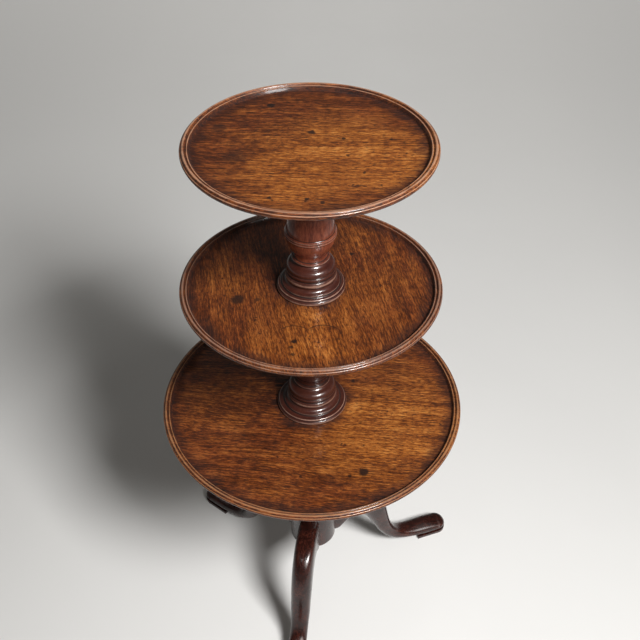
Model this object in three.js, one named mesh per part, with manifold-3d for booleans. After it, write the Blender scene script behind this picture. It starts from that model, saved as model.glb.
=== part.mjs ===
// Three-tier revolving dumb waiter in turned and carved mahogany
// Millimetres, +Z up, floor at z = 0, front leg towards -Y

import * as THREE from 'three';
import { mergeVertices } from 'three/addons/utils/BufferGeometryUtils.js';
import Module from 'manifold-3d';

const wasm = await Module();
wasm.setup();

// Clearances
const seatGap = 0.3;          // between pieces that bear on each other
const runningClearance = 0.3; // round a journal that turns
const jointClearance = 0.3;   // round a glued tenon, tongue or screw
const cutOverrun = 4;         // how far a cutter runs past the face that it opens

// Trays: outer radii, and heights from rim top to rim top
const bottomTrayRadius = 300;
const bottomRimHeight = 603;  // above the floor
const middleTrayRadius = 237.5;
const lowerTierGap = 300.8;
const topTrayRadius = 208.7;
const upperTierGap = 284.7;
const dishDepth = 10.5;       // rim top down to the dish floor
const trayFloorThickness = 9.5;
const rimWidth = 21;          // moulded rim and its cove
const rimEdgeHeight = 10.8;   // rim top down to the lower edge of the rim
const undersideBevelWidth = 42;

// Bearers: the turned blocks screwed under the trays, which run on the columns
const bearerThickness = 16;
const bottomBearerRadius = 76;
const middleBearerRadius = 68;
const topBearerRadius = 62;
const bearerEdgeWidth = 7;
const bearerScrewInset = 11;  // screw centre in from the bearer's rim
const bearerScrewCount = 4;

// Column: journals, tenons and sockets
const journalRadius = 20;
const tenonRadius = 14;
const tenonLength = 62;
const topJournalRadius = 15;

// Turned mouldings of the two columns that stand on trays
const lowerPlateRadius = 70.1;   // widest ring, on the tray
const lowerTurningRadius = 48.3; // bead above the cove
const upperPlateRadius = 62.4;
const upperTurningRadius = 45.6;
const columnFootHeight = 70.5;   // tray floor to the ring at the neck
const lowerVaseHeight = 48;
const upperVaseHeight = 45;
const columnBandHeight = 8.7;

// Pedestal
const drumRadius = 51.3;
const drumBottomHeight = 154.4;
const drumHeight = 104;

// Legs
const footReach = 357;        // column axis to the toe
const legTopHeight = 249;
const kneeWidth = 46;
const ankleWidth = 39;
const footWidth = 48;
const footHeight = 35;
const padThickness = 8;
const padLength = 81;
const legCount = 3;
const tongueDepth = 20;
const tongueHeight = 84;
const tongueNeckWidth = 16;
const tongueRootWidth = 22;
const sectionSquareness = 3.2;

// Iron brace under the drum and its screws
const braceThickness = 3;
const braceArmWidth = 22;
const braceArmEnd = 15;       // arm beyond its outer screw
const braceHubRadius = 26;
const innerScrewReach = 42;

// Countersunk wood screws
const screwHeadRadius = 4.4;
const screwHeadHeight = 2.6;
const screwShankRadius = 2.2;
const screwSlotWidth = 1;
const screwSlotDepth = 1;
const bearerScrewLength = 22;
const braceScrewLength = 24;
const screwPointLength = 4;

// Facets
const traySegments = 48;
const columnSegments = 20;
const pedestalSegments = 8 * legCount; // the same facets face each leg
const bearerSegments = 24;
const screwSegments = 8;
const sectionPoints = 12;
const toeSteps = 4;

// Angles
const fullTurn = 2 * Math.PI;
const quarterTurn = fullTurn / 4;
const frontAngle = -quarterTurn;

// The footprint's middle is the origin, so the column stands behind it
const columnY = (footReach - bottomTrayRadius) / 2;

// Mahogany and iron
const finishes = {
  tray: { color: 0x7a4326, roughness: 0.34, metalness: 0 },
  column: { color: 0x5b2c20, roughness: 0.26, metalness: 0 },
  leg: { color: 0x43211a, roughness: 0.22, metalness: 0 },
  bearer: { color: 0x5a3626, roughness: 0.6, metalness: 0 },
  iron: { color: 0x35302c, roughness: 0.55, metalness: 0.8 },
};

// Joined corners and no triangles without area
const closed = (geometry) => {
  geometry.deleteAttribute('normal');
  geometry.deleteAttribute('uv');
  const merged = mergeVertices(geometry);
  const index = Array.from(merged.index.array);
  const kept = [];
  for (let i = 0; i < index.length; i += 3) {
    const [a, b, c] = index.slice(i, i + 3);
    if (a !== b && b !== c && c !== a) kept.push(a, b, c);
  }
  merged.setIndex(kept);
  return merged;
};

const solidOf = (geometry) => {
  const whole = closed(geometry);
  return new wasm.Manifold(new wasm.Mesh({
    numProp: 3,
    vertProperties: new Float32Array(whole.attributes.position.array),
    triVerts: new Uint32Array(whole.index.array),
  }));
};

const geometryOf = (solid) => {
  const mesh = solid.getMesh();
  const geometry = new THREE.BufferGeometry();
  geometry.setAttribute('position', new THREE.BufferAttribute(new Float32Array(mesh.vertProperties), 3));
  geometry.setIndex(Array.from(mesh.triVerts));
  return geometry;
};

const cut = (geometry, cutters) => {
  let solid = solidOf(geometry);
  for (const cutter of cutters) solid = solid.subtract(solidOf(cutter));
  return geometryOf(solid);
};

const join = (geometries) => {
  let solid = solidOf(geometries[0]);
  for (const geometry of geometries.slice(1)) solid = solid.add(solidOf(geometry));
  return geometryOf(solid);
};

// A turned shape about Z, from a list of [radius, height] up its outside
const turned = (profile, segments) => {
  const points = profile.map(([radius, height]) => new THREE.Vector2(radius, height));
  const geometry = new THREE.LatheGeometry(points, segments);
  geometry.rotateX(quarterTurn);
  return closed(geometry);
};

// A flat outline in X and Y, raised to a height
const raised = (outline, height) => {
  const shape = new THREE.Shape(outline.map(([x, y]) => new THREE.Vector2(x, y)));
  return new THREE.ExtrudeGeometry(shape, { depth: height, bevelEnabled: false });
};

// Rows of shares laid over a radius and a height
const placed = (shares, radius, base, height) => (
  shares.map(([out, up]) => [out * radius, base + up * height])
);

const part = new THREE.Group();

const addNode = (parent, name, geometry, finish) => {
  const mesh = new THREE.Mesh(geometry, new THREE.MeshStandardMaterial(finishes[finish]));
  mesh.name = name;
  parent.add(mesh);
  return mesh;
};

const columnGroup = new THREE.Group();
columnGroup.position.set(0, columnY, 0);
part.add(columnGroup);

// Countersunk screw that points up, its head's face at z = 0

const screwProfile = (length, clearance, mouth) => [
  [0, -mouth],
  [screwHeadRadius + clearance, -mouth],
  [screwHeadRadius + clearance, clearance],
  [screwShankRadius + clearance, screwHeadHeight + clearance],
  [screwShankRadius + clearance, length - screwPointLength],
  [0, length + clearance],
];

const screwGeometry = (length) => {
  const slotReach = screwHeadRadius + cutOverrun;
  const slot = raised([
    [-slotReach, -screwSlotWidth / 2],
    [slotReach, -screwSlotWidth / 2],
    [slotReach, screwSlotWidth / 2],
    [-slotReach, screwSlotWidth / 2],
  ], screwSlotDepth + cutOverrun);
  slot.translate(0, 0, -cutOverrun);
  return cut(turned(screwProfile(length, 0, 0), screwSegments), [slot]);
};

const screwHole = (length, x, y, z) => (
  turned(screwProfile(length, jointClearance, cutOverrun), screwSegments).translate(x, y, z)
);

// Heights that follow from the trays
const middleRimHeight = bottomRimHeight + lowerTierGap;
const topRimHeight = middleRimHeight + upperTierGap;
const trayUnderside = (rimHeight) => rimHeight - dishDepth - trayFloorThickness;
const bearerTop = (rimHeight) => trayUnderside(rimHeight) - seatGap;
const bearerBottom = (rimHeight) => bearerTop(rimHeight) - bearerThickness;
const shoulderHeight = (rimHeight) => bearerBottom(rimHeight) - seatGap;
const trayFloorHeight = (rimHeight) => rimHeight - dishDepth;

// Trays, each with its bearer and screws

// Inward over the rim's width, down over the edge's or the dish's depth
const rimOutsideShares = [[0.07, 1], [0, 0.76], [0.06, 0.48], [0.12, 0.4], [0.12, 0.2], [0.276, 0]];
const rimInsideShares = [
  [0.39, 0.14],
  [0.43, 0.28],
  [0.58, 0.22],
  [0.67, 0.38],
  [0.73, 0.72],
  [0.85, 0.93],
  [1, 1],
];

const trayProfile = ({ radius, rimHeight, holeRadius }) => {
  const outside = rimOutsideShares.map(([inward, down]) => (
    [radius - inward * rimWidth, rimHeight - down * rimEdgeHeight]
  ));
  const inside = rimInsideShares.map(([inward, down]) => (
    [radius - inward * rimWidth, rimHeight - down * dishDepth]
  ));
  return [
    [holeRadius, trayUnderside(rimHeight)],
    [radius - undersideBevelWidth, trayUnderside(rimHeight)],
    ...outside,
    ...inside,
    [holeRadius, trayFloorHeight(rimHeight)],
  ];
};

// Inward over the edge's width, up over the bearer's thickness
const bearerEdgeShares = [[1, 0], [0.45, 0.12], [0.1, 0.38], [0, 0.72], [0.25, 0.76], [0.25, 1]];

const bearerProfile = ({ bearerRadius, rimHeight, boreRadius }) => [
  [boreRadius, bearerBottom(rimHeight)],
  ...bearerEdgeShares.map(([inward, up]) => (
    [bearerRadius - inward * bearerEdgeWidth, bearerBottom(rimHeight) + up * bearerThickness]
  )),
  [boreRadius, bearerTop(rimHeight)],
];

// A ring's outline closes on itself, a disc's starts and ends on the axis
const closedRing = (profile) => (profile[0][0] > 0 ? [...profile, profile[0]] : profile);

const addTray = (tier) => {
  const angleStep = fullTurn / bearerScrewCount;
  const circle = tier.bearerRadius - bearerScrewInset;
  const screwBase = bearerBottom(tier.rimHeight) + jointClearance;
  const places = Array.from({ length: bearerScrewCount }, (unused, i) => {
    const angle = angleStep * (i + 1 / 2);
    return [circle * Math.cos(angle), circle * Math.sin(angle)];
  });
  const holes = places.map(([x, y]) => screwHole(bearerScrewLength, x, y, screwBase));
  const tray = turned(closedRing(trayProfile(tier)), traySegments);
  addNode(columnGroup, tier.name, cut(tray, holes), 'tray');
  const bearer = turned(closedRing(bearerProfile(tier)), bearerSegments);
  addNode(columnGroup, `${tier.name}_bearer`, cut(bearer, holes), 'bearer');
  places.forEach(([x, y], i) => {
    const screwName = `${tier.name}_screw_${i + 1}`;
    const screw = addNode(columnGroup, screwName, screwGeometry(bearerScrewLength), 'iron');
    screw.position.set(x, y, screwBase);
  });
};

const tiers = [
  {
    name: 'bottom_tray',
    radius: bottomTrayRadius,
    rimHeight: bottomRimHeight,
    bearerRadius: bottomBearerRadius,
    holeRadius: journalRadius + runningClearance,
    boreRadius: journalRadius + runningClearance,
  },
  {
    name: 'middle_tray',
    radius: middleTrayRadius,
    rimHeight: middleRimHeight,
    bearerRadius: middleBearerRadius,
    holeRadius: journalRadius + runningClearance,
    boreRadius: journalRadius + runningClearance,
  },
  {
    name: 'top_tray',
    radius: topTrayRadius,
    rimHeight: topRimHeight,
    bearerRadius: topBearerRadius,
    holeRadius: 0,
    boreRadius: topJournalRadius + runningClearance,
  },
];

tiers.forEach(addTray);

// Columns that stand on the bottom and middle trays

// Rings on the tray: out over the plate's radius, up over the foot's height
const plateShares = [[0.97, 0], [1, 0.03], [1, 0.065], [0.968, 0.09], [0.94, 0.13]];
// Lip, cove, bead, fillet, bell and neck ring, out over the turning radius
const footShares = [
  [1.08, 0.14],
  [1.05, 0.165],
  [0.95, 0.22],
  [0.945, 0.32],
  [1, 0.4],
  [1, 0.45],
  [0.955, 0.505],
  [0.955, 0.6],
  [0.955, 0.68],
  [0.93, 0.76],
  [0.83, 0.86],
  [0.75, 0.93],
  [0.72, 0.96],
  [0.72, 1],
];
// Vase: up over the vase's height
const vaseShares = [[0.665, 0.04], [0.675, 0.16], [0.76, 0.34], [0.89, 0.62], [0.965, 1]];
// Band: up over the band's height
const bandShares = [[0.99, 0.02], [0.99, 1]];
// Tapering shaft, astragal and capital: up over the rest
const shaftShares = [
  [0.915, 0.01],
  [0.895, 0.08],
  [0.83, 0.22],
  [0.72, 0.46],
  [0.63, 0.78],
  [0.7, 0.82],
  [0.7, 0.86],
  [0.625, 0.885],
  [0.74, 0.93],
  [0.98, 0.955],
  [0.98, 1],
];

const socketProfile = (shoulder) => [
  [tenonRadius + jointClearance, shoulder],
  [tenonRadius + jointClearance, shoulder - tenonLength - jointClearance],
  [0, shoulder - tenonLength - jointClearance],
];

const columnOutside = (base, shoulder, plateRadius, turningRadius, vaseHeight) => {
  const vaseBase = base + columnFootHeight;
  const bandBase = vaseBase + vaseHeight;
  const shaftBase = bandBase + columnBandHeight;
  return [
    ...placed(plateShares, plateRadius, base, columnFootHeight),
    ...placed(footShares, turningRadius, base, columnFootHeight),
    ...placed(vaseShares, turningRadius, vaseBase, vaseHeight),
    ...placed(bandShares, turningRadius, bandBase, columnBandHeight),
    ...placed(shaftShares, turningRadius, shaftBase, shoulder - shaftBase),
  ];
};

const spigotProfile = (seatHeight, plateBase) => [
  [0, seatHeight - tenonLength],
  [tenonRadius, seatHeight - tenonLength],
  [tenonRadius, seatHeight],
  [journalRadius, seatHeight],
  [journalRadius, plateBase],
];

const lowerSeat = shoulderHeight(bottomRimHeight) + seatGap;
const lowerBase = trayFloorHeight(bottomRimHeight) + seatGap;
const lowerShoulder = shoulderHeight(middleRimHeight);
addNode(columnGroup, 'lower_column', turned([
  ...spigotProfile(lowerSeat, lowerBase),
  ...columnOutside(lowerBase, lowerShoulder, lowerPlateRadius, lowerTurningRadius, lowerVaseHeight),
  ...socketProfile(lowerShoulder),
], columnSegments), 'column');

const upperSeat = shoulderHeight(middleRimHeight) + seatGap;
const upperBase = trayFloorHeight(middleRimHeight) + seatGap;
const upperShoulder = shoulderHeight(topRimHeight);
const topJournalEnd = trayUnderside(topRimHeight) - seatGap;
addNode(columnGroup, 'upper_column', turned([
  ...spigotProfile(upperSeat, upperBase),
  ...columnOutside(upperBase, upperShoulder, upperPlateRadius, upperTurningRadius, upperVaseHeight),
  [topJournalRadius, upperShoulder],
  [topJournalRadius, topJournalEnd],
  [0, topJournalEnd],
], columnSegments), 'column');

// Legs, made along +X and turned to their places

// Top edge out and up, underside out and up, width
const kneeShares = [
  [0.112, 0.98, 0.112, 1, 1],
  [0.151, 0.986, 0.16, 1, 1],
  [0.19, 0.994, 0.182, 1.043, 1],
  [0.235, 1, 0.207, 1.101, 1],
  [0.283, 0.998, 0.238, 1.156, 1],
  [0.331, 0.988, 0.272, 1.176, 1],
  [0.38, 0.964, 0.308, 1.146, 1],
  [0.426, 0.923, 0.339, 1.075, 1],
  [0.466, 0.856, 0.37, 0.972, 1],
  [0.496, 0.764, 0.398, 0.848, 0.99],
  [0.517, 0.667, 0.423, 0.725, 0.97],
  [0.531, 0.567, 0.443, 0.628, 0.945],
];
const ankleShares = [
  [0.544, 0.472, 0.462, 0.531, 1.095],
  [0.56, 0.382, 0.482, 0.447, 1.055],
  [0.577, 0.315, 0.504, 0.363, 1.02],
  [0.597, 0.259, 0.529, 0.291, 1],
  [0.624, 0.213, 0.563, 0.217, 1],
  [0.659, 0.181, 0.602, 0.159, 1.03],
  [0.704, 0.16, 0.653, 0.113, 1.075],
];
const footSectionShares = [
  [0.756, 1.05, 0.711, 1.5, 0.91],
  [0.807, 1.012, 0.77, 1.1, 0.95],
  [0.854, 0.985, 0.826, 0.9, 0.97],
  [0.896, 0.93, 0.88, 0.9, 0.975],
];
const toeTopShare = 0.85;
const toeWidthShare = 0.975;
const toeRoundShare = 0.94;
const toeBottomShare = 0.9;

const legStations = (() => {
  const rows = (shares, topHeight, underHeight, width) => (
    shares.map(([topOut, topUp, underOut, underUp, widthShare]) => ({
      top: [topOut * footReach, topUp * topHeight],
      under: [underOut * footReach, underUp * underHeight],
      halfWidth: widthShare * width / 2,
    }))
  );
  const toeRadius = toeWidthShare * footWidth / 2;
  const toeCentre = footReach - footWidth / 2;
  const under = toeBottomShare * padThickness;
  const toe = Array.from({ length: toeSteps }, (unused, i) => {
    const angle = toeRoundShare * quarterTurn * i / (toeSteps - 1);
    const out = toeCentre + toeRadius * Math.sin(angle);
    const top = under + (toeTopShare * footHeight - under) * Math.sqrt(Math.cos(angle));
    return { top: [out, top], under: [out, under], halfWidth: toeRadius * Math.cos(angle) };
  });
  return [
    ...rows(kneeShares, legTopHeight, drumBottomHeight, kneeWidth),
    ...rows(ankleShares, legTopHeight, drumBottomHeight, ankleWidth),
    ...rows(footSectionShares, footHeight, padThickness, footWidth),
    ...toe,
  ];
})();

// Rounded sections strung along the stations, closed with a fan at each end
const loft = (stations) => {
  const positions = [];
  const indices = [];
  const rounded = (value) => Math.sign(value) * Math.abs(value) ** (2 / sectionSquareness);
  for (const { top, under, halfWidth } of stations) {
    for (let i = 0; i < sectionPoints; i += 1) {
      const angle = fullTurn * (i + 1 / 2) / sectionPoints;
      const up = rounded(Math.cos(angle)) / 2;
      const side = rounded(Math.sin(angle)) * halfWidth;
      positions.push(
        (top[0] + under[0]) / 2 + up * (top[0] - under[0]),
        side,
        (top[1] + under[1]) / 2 + up * (top[1] - under[1]),
      );
    }
  }
  for (let ring = 0; ring < stations.length - 1; ring += 1) {
    for (let i = 0; i < sectionPoints; i += 1) {
      const a = ring * sectionPoints + i;
      const b = ring * sectionPoints + (i + 1) % sectionPoints;
      const c = a + sectionPoints;
      const d = b + sectionPoints;
      indices.push(a, c, b, b, c, d);
    }
  }
  const last = (stations.length - 1) * sectionPoints;
  for (let i = 1; i < sectionPoints - 1; i += 1) {
    indices.push(0, i, i + 1);
    indices.push(last, last + i + 1, last + i);
  }
  const geometry = new THREE.BufferGeometry();
  geometry.setAttribute('position', new THREE.BufferAttribute(new Float32Array(positions), 3));
  geometry.setIndex(indices);
  return geometry;
};

// Sole pad: square heel, toe on a half circle
const padGeometry = () => {
  const heelHalfWidth = footSectionShares[1][4] * footWidth / 2;
  const toeRadius = footWidth / 2;
  const toeCentre = footReach - toeRadius;
  const outline = [[footReach - padLength, -heelHalfWidth]];
  for (let i = 0; i <= sectionPoints; i += 1) {
    const angle = quarterTurn * (2 * i / sectionPoints - 1);
    outline.push([toeCentre + toeRadius * Math.cos(angle), toeRadius * Math.sin(angle)]);
  }
  outline.push([footReach - padLength, heelHalfWidth]);
  return raised(outline, padThickness);
};

// Dovetail tongue, its root inside the drum
const tongueGeometry = (clearance, outerReach, bottom) => {
  const root = drumRadius - tongueDepth - clearance;
  const tongue = raised([
    [root, -tongueRootWidth / 2 - clearance],
    [drumRadius, -tongueNeckWidth / 2 - clearance],
    [outerReach, -tongueNeckWidth / 2 - clearance],
    [outerReach, tongueNeckWidth / 2 + clearance],
    [drumRadius, tongueNeckWidth / 2 + clearance],
    [root, tongueRootWidth / 2 + clearance],
  ], drumBottomHeight + tongueHeight + clearance - bottom);
  tongue.translate(0, 0, bottom);
  return tongue;
};

// Height of the leg's underside at a reach from the column axis
const undersideAt = (reach) => {
  const points = legStations.map(({ under }) => under);
  const next = points.findIndex(([out]) => reach <= out);
  if (next === 0) return points[0][1];
  const [innerOut, innerUp] = points[next - 1];
  const [outerOut, outerUp] = points[next];
  return innerUp + (outerUp - innerUp) * (reach - innerOut) / (outerOut - innerOut);
};

// The arch's crown, where the underside runs level
const archStation = legStations.reduce((best, station) => (
  station.under[1] > best.under[1] ? station : best
));
const outerScrewReach = archStation.under[0];
const braceReach = outerScrewReach + braceArmEnd;

const screwPlaces = [
  { name: 'inner', reach: innerScrewReach },
  { name: 'outer', reach: outerScrewReach },
];
const screwFace = (reach) => undersideAt(reach) - seatGap - braceThickness + jointClearance;

const drumCutter = () => turned([
  [0, 0],
  [drumRadius + seatGap, 0],
  [drumRadius + seatGap, legTopHeight + cutOverrun],
  [0, legTopHeight + cutOverrun],
], pedestalSegments);

const legScrewHoles = () => screwPlaces.map(({ reach }) => (
  screwHole(braceScrewLength, reach, 0, screwFace(reach))
));

const legGeometry = () => {
  const body = cut(join([loft(legStations), padGeometry()]), [drumCutter()]);
  const tongueEnd = kneeShares[1][0] * footReach;
  return cut(join([body, tongueGeometry(0, tongueEnd, drumBottomHeight)]), legScrewHoles());
};

const legNames = ['front', 'right', 'left'];
const legAngles = legNames.map((name, i) => frontAngle + fullTurn * i / legCount);

legNames.forEach((name, i) => {
  const leg = addNode(columnGroup, `leg_${name}`, legGeometry(), 'leg');
  leg.rotation.z = legAngles[i];
});

// Pedestal: the drum that the legs are let into, and the baluster above it

// Out over the drum's radius, up over the turned height above the drum
const pedestalShares = [
  [1, 0],
  [0.96, 0.012],
  [0.82, 0.025],
  [0.77, 0.045],
  [0.88, 0.062],
  [0.9, 0.078],
  [0.86, 0.094],
  [0.74, 0.1],
  [0.77, 0.13],
  [0.88, 0.19],
  [0.95, 0.26],
  [0.95, 0.32],
  [0.87, 0.43],
  [0.75, 0.57],
  [0.66, 0.71],
  [0.6, 0.86],
  [0.69, 0.88],
  [0.69, 0.905],
  [0.61, 0.92],
  [0.7, 0.95],
  [0.94, 0.975],
  [1, 0.98],
  [1, 1],
];

const pedestalShoulder = shoulderHeight(bottomRimHeight);
const drumTop = drumBottomHeight + drumHeight;
const pedestal = turned([
  [0, drumBottomHeight],
  [drumRadius, drumBottomHeight],
  ...placed(pedestalShares, drumRadius, drumTop, pedestalShoulder - drumTop),
  ...socketProfile(pedestalShoulder),
], pedestalSegments);
const tongueSlots = legAngles.map((angle) => {
  const slot = tongueGeometry(jointClearance, drumRadius + cutOverrun, drumBottomHeight - cutOverrun);
  return slot.rotateZ(angle);
});
const hubScrewFace = drumBottomHeight - seatGap - braceThickness + jointClearance;
addNode(columnGroup, 'pedestal_column', cut(pedestal, [
  ...tongueSlots,
  screwHole(braceScrewLength, 0, 0, hubScrewFace),
]), 'column');

// Brace: three iron arms that follow the legs' undersides, and a hub

// Where an arm starts, as a share of the hub's radius
const braceArmRootShare = 0.6;

const braceArm = () => {
  const root = braceArmRootShare * braceHubRadius;
  const reaches = legStations.map(({ under }) => under[0]).filter((reach) => reach < braceReach);
  const upper = [root, ...reaches, braceReach].map((reach) => [reach, undersideAt(reach) - seatGap]);
  const lower = upper.map(([reach, height]) => [reach, height - braceThickness]).reverse();
  const arm = raised([...upper, ...lower], braceArmWidth);
  arm.translate(0, 0, -braceArmWidth / 2);
  arm.rotateX(quarterTurn);
  return arm;
};

const braceHub = turned([
  [0, drumBottomHeight - seatGap - braceThickness],
  [braceHubRadius, drumBottomHeight - seatGap - braceThickness],
  [braceHubRadius, drumBottomHeight - seatGap],
  [0, drumBottomHeight - seatGap],
], pedestalSegments);
const braceHoles = [
  screwHole(braceScrewLength, 0, 0, hubScrewFace),
  ...legAngles.flatMap((angle) => legScrewHoles().map((hole) => hole.rotateZ(angle))),
];
addNode(columnGroup, 'leg_brace', cut(join([
  braceHub,
  ...legAngles.map((angle) => braceArm().rotateZ(angle)),
]), braceHoles), 'iron');

const hubScrew = addNode(columnGroup, 'brace_screw_centre', screwGeometry(braceScrewLength), 'iron');
hubScrew.position.set(0, 0, hubScrewFace);
legNames.forEach((legName, i) => {
  for (const { name, reach } of screwPlaces) {
    const screwName = `brace_screw_${legName}_${name}`;
    const screw = addNode(columnGroup, screwName, screwGeometry(braceScrewLength), 'iron');
    screw.position.set(reach * Math.cos(legAngles[i]), reach * Math.sin(legAngles[i]), screwFace(reach));
  }
});

export default part;
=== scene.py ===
# %% [markdown]
# # A mahogany dumb waiter, turned, carved and polished in Blender
#
# Three dished trays revolve on a turned column that stands on a tripod of cabriole legs.
# The construction comes in as a fixed frame: every piece at its real size, in metres,
# with plain facets. This lesson puts finely turned and carved wood in place of the
# facets, and gives each piece the colour, figure, wear and polish of an old waxed
# surface. The frame gives all the main sizes, so nothing is fitted by eye.

# %% Load the frame
import math

import bmesh
import bpy
import numpy as np
from mathutils import Matrix, Vector


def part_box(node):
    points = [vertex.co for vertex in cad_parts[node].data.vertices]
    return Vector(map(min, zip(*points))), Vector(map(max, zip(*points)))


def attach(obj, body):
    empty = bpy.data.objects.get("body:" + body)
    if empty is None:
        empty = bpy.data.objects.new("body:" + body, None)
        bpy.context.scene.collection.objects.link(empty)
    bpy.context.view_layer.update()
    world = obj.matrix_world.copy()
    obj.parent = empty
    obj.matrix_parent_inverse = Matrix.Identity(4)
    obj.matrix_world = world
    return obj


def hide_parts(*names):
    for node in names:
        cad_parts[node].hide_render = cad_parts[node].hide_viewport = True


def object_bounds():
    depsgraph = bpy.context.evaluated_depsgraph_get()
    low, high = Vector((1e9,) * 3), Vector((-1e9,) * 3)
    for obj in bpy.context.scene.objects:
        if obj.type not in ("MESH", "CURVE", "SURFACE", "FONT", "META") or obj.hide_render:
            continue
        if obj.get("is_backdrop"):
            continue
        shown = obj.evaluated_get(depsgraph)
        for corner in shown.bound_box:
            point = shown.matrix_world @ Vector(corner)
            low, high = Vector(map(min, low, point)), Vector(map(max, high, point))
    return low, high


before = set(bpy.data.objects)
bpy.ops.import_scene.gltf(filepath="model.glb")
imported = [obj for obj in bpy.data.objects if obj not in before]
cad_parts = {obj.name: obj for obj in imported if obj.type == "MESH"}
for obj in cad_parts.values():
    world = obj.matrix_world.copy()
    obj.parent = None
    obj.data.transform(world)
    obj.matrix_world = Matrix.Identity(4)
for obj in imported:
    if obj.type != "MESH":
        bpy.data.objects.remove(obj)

MM = 0.001
scene = bpy.context.scene
cad_low, cad_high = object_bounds()


def middle(node):
    low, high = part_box(node)
    return (low + high) / 2


column_axis = Vector((*middle("bottom_tray").xy, 0))

# %% [markdown]
# ## The camera
#
# The photograph looks down on the trays from about eye height. Such a camera can be
# placed by eye, or solved from the picture. Here it was solved: the rims of the trays
# are circles, and the way their ellipses flatten from tray to tray fixes the height,
# the tilt and the focal length together. It stands a little to the right of the front leg.

# %% Camera
CAMERA_HEIGHT = 1.9093
CAMERA_DISTANCE = 1.2543        # in front of the column's axis
CAMERA_SIDE = 0.0162            # to the right of the column's axis
CAMERA_TILT = math.radians(41.27)
CAMERA_TURN = math.radians(8.8)
SENSOR_WIDTH = 36
FOCAL_PIXELS = 890.6            # found in the picture, together with the tilt and the height
PICTURE_PIXELS = 640
FOCAL_LENGTH = SENSOR_WIDTH * FOCAL_PIXELS / PICTURE_PIXELS


def seen_from_camera(right, away, up):
    """A direction given as the camera sees it, level with the floor, in the frame's axes."""
    return Matrix.Rotation(CAMERA_TURN, 3, "Z") @ Vector((right, away, up))


camera = bpy.data.objects.new("camera", bpy.data.cameras.new("camera"))
scene.collection.objects.link(camera)
camera.data.lens = FOCAL_LENGTH
camera.data.sensor_width = SENSOR_WIDTH
camera.location = column_axis + seen_from_camera(CAMERA_SIDE, -CAMERA_DISTANCE, CAMERA_HEIGHT)
camera.rotation_euler = (math.pi / 2 - CAMERA_TILT, 0, CAMERA_TURN)
scene.camera = camera
print("camera at", [round(x, 3) for x in camera.location], "lens", round(FOCAL_LENGTH, 1))

# %% [markdown]
# ## Nodes in short words
#
# Every finish, the world and the lathe below are node trees. A tree can be drawn in the
# editor and saved in a file, but a script that builds it can be read, and gives the same
# tree each time. One small class adds a node, sets it and wires it, and gives the sums
# and blends that come up all the time a short name.

# %% Node helper
class Wires:
    """A node tree, with short ways to add nodes and wire them."""

    def __init__(self, tree):
        self.tree = tree

    def node(self, kind, inputs=None, **settings):
        made = self.tree.nodes.new(kind)
        for key, value in settings.items():
            setattr(made, key, value)
        for key, value in (inputs or {}).items():
            self.feed(made.inputs[key], value)
        return made

    def feed(self, socket, value):
        """Sets a socket to a value, or wires it to a socket or to a node's first output."""
        if isinstance(value, bpy.types.Node):
            value = value.outputs[0]
        if isinstance(value, bpy.types.NodeSocket):
            self.tree.links.new(value, socket)
        else:
            socket.default_value = value

    def vector(self, operation, first, second):
        made = self.node("ShaderNodeVectorMath", {0: first, 1: second}, operation=operation)
        return made.outputs["Value" if operation in ("DISTANCE", "DOT_PRODUCT") else "Vector"]

    def math(self, operation, first, second=0.0):
        return self.node("ShaderNodeMath", {0: first, 1: second}, operation=operation).outputs[0]

    def plus(self, first, second):
        return self.math("ADD", first, second)

    def times(self, first, second):
        return self.math("MULTIPLY", first, second)

    def larger(self, first, second):
        return self.math("MAXIMUM", first, second)

    def span(self, value, low, high, to_low=0.0, to_high=1.0, curve="SMOOTHSTEP"):
        """Turns the stretch from low to high of a value into another stretch."""
        inputs = {0: value, 1: low, 2: high, 3: to_low, 4: to_high}
        return self.node("ShaderNodeMapRange", inputs, interpolation_type=curve).outputs[0]

    def mix(self, share, first, second, mode="MIX"):
        inputs = {0: share, 6: first, 7: second}
        made = self.node("ShaderNodeMix", inputs, data_type="RGBA", blend_type=mode)
        return made.outputs[2]

    def ramp(self, value, stops):
        made = self.node("ShaderNodeValToRGB", {0: value})
        steps = made.color_ramp.elements
        while len(steps) < len(stops):
            steps.new(0.5)
        for step, (place, color) in zip(steps, stops):
            step.position = place
            step.color = color
        return made.outputs[0]


print("a tree can:", *[name for name in vars(Wires) if name[0] != "_"])

# %% Finish helper
class Finish(Wires):
    """A material, as wires that lead to its one shader."""

    def __init__(self, name):
        self.material = bpy.data.materials.new(name)
        self.material.use_nodes = True
        super().__init__(self.material.node_tree)
        self.shader = self.tree.nodes["Principled BSDF"]

    def set(self, **values):
        """Sets or wires the shader's sockets, and gives back the finished material."""
        for name, value in values.items():
            socket = name.replace("_", " ").title().replace("Ior", "IOR")
            self.feed(self.shader.inputs[socket], value)
        print(f"{self.material.name}: {len(self.tree.nodes)} nodes")
        return self.material

    def attribute(self, name):
        made = self.node("ShaderNodeAttribute", attribute_name=name)
        return made.outputs["Vector" if name == "grain" else "Fac"]

    def noise(self, place, per_metre, detail=2.0, rough=0.5):
        stretched = self.vector("MULTIPLY", place, per_metre)
        inputs = {"Vector": stretched, "Scale": 1.0, "Detail": detail, "Roughness": rough}
        return self.node("ShaderNodeTexNoise", inputs).outputs[0]

    def bump(self, height, depth, under=None):
        inputs = {"Height": height, "Distance": depth, "Strength": 1.0}
        if under is not None:
            inputs["Normal"] = under
        return self.node("ShaderNodeBump", inputs).outputs[0]


def color(red, green, blue):
    return (red, green, blue, 1.0)


print("a finish can also:", *[name for name in vars(Finish) if name[0] != "_"])
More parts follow.
